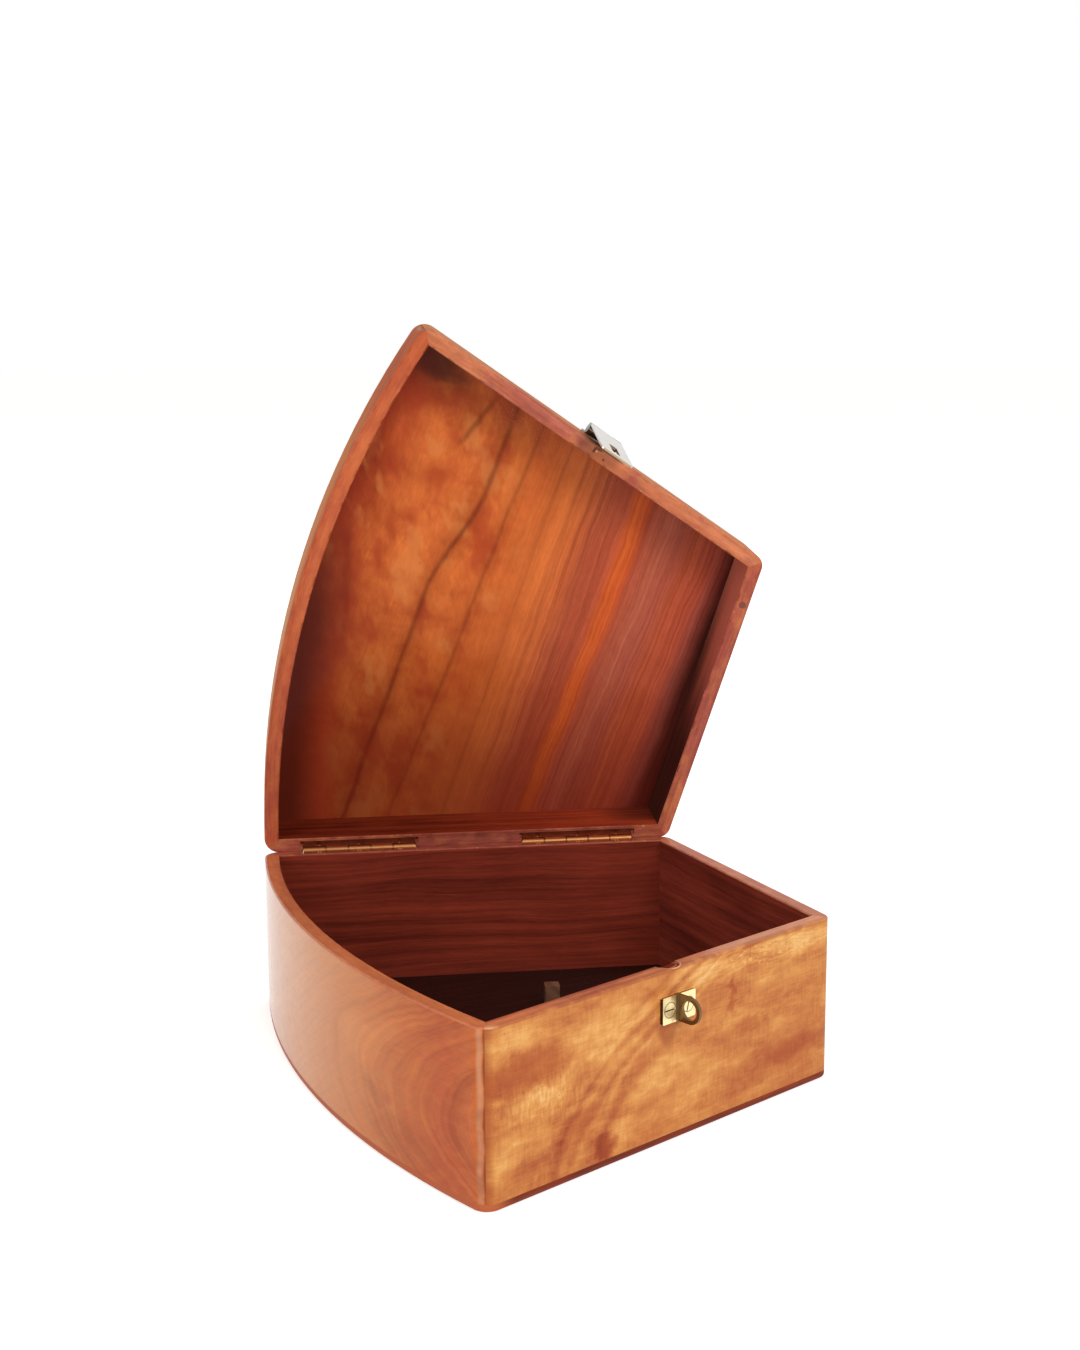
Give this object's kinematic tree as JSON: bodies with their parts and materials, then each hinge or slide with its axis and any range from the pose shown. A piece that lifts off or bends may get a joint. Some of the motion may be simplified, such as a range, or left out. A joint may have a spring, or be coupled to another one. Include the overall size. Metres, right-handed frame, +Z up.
{
  "type": "sextant box",
  "caption": "Keystone-shaped varnished hardwood instrument box with a bowed wide end, a deep hinged lid standing open, brass butt hinges, and a slotted hasp over a padlock staple.",
  "frame": {"origin": "on the resting face, on the keystone's centre line, halfway between the chord of the wide end and the narrow end", "axes": "+Z up; +X along the hinge line from the wide end towards the narrow end; +Y towards the back, where the hinges are, so the hasp and staple are on the slanting front"},
  "size_m": [0.2818, 0.3278, 0.3787],
  "materials": {
    "varnished_wood": "glossy varnish over figured reddish-brown hardwood",
    "rest_wood": "dull, unpolished hardwood",
    "dark_plug": "dark end grain",
    "felt": "matt wool felt",
    "brass": "satin, lightly tarnished",
    "nickel": "worn bright plating over brass"
  },
  "bodies": {
    "base": {"base_front_wall": "varnished_wood", "base_end_wall": "varnished_wood", "base_back_wall": "varnished_wood", "base_curved_wall": "varnished_wood", "base_bottom_board": "varnished_wood", "arc_rest_front": "rest_wood", "arc_rest_back": "rest_wood", "handle_chock": "rest_wood", "end_rest": "rest_wood", "rest_post": "rest_wood", "arc_rest_pad_front": "felt", "arc_rest_pad_back": "felt", "bottom_board_screws": "brass", "staple": "brass", "staple_screws": "brass", "hinge_base_leaf_right": "brass", "hinge_base_leaf_left": "brass", "hinge_base_screws": "brass", "hinge_pin_right": "brass", "hinge_pin_left": "brass"},
    "lid": {"lid_front_wall": "varnished_wood", "lid_end_wall": "varnished_wood", "lid_back_wall": "varnished_wood", "lid_curved_wall": "varnished_wood", "lid_top_panel": "varnished_wood", "lid_rim_plug": "dark_plug", "hinge_lid_leaf_right": "brass", "hinge_lid_leaf_left": "brass", "hinge_lid_screws": "brass", "hasp_leaf": "nickel", "hasp_pin": "nickel", "hasp_screws": "nickel"},
    "strap": {"hasp_strap": "nickel"}
  },
  "joints": [
    {"name": "lid_hinge", "type": "hinge", "parent": "base", "child": "lid", "pos_m": [0, 0.11395, 0.08515], "axis": [-1, 0, 0], "range_deg": [-84.3, 2]},
    {"name": "strap_hinge", "type": "hinge", "parent": "lid", "child": "strap", "pos_m": [0.0409, 0.11115, 0.31606], "axis": [-0.82, -0.0568, 0.5695], "range_deg": [0, 148]}
  ]
}
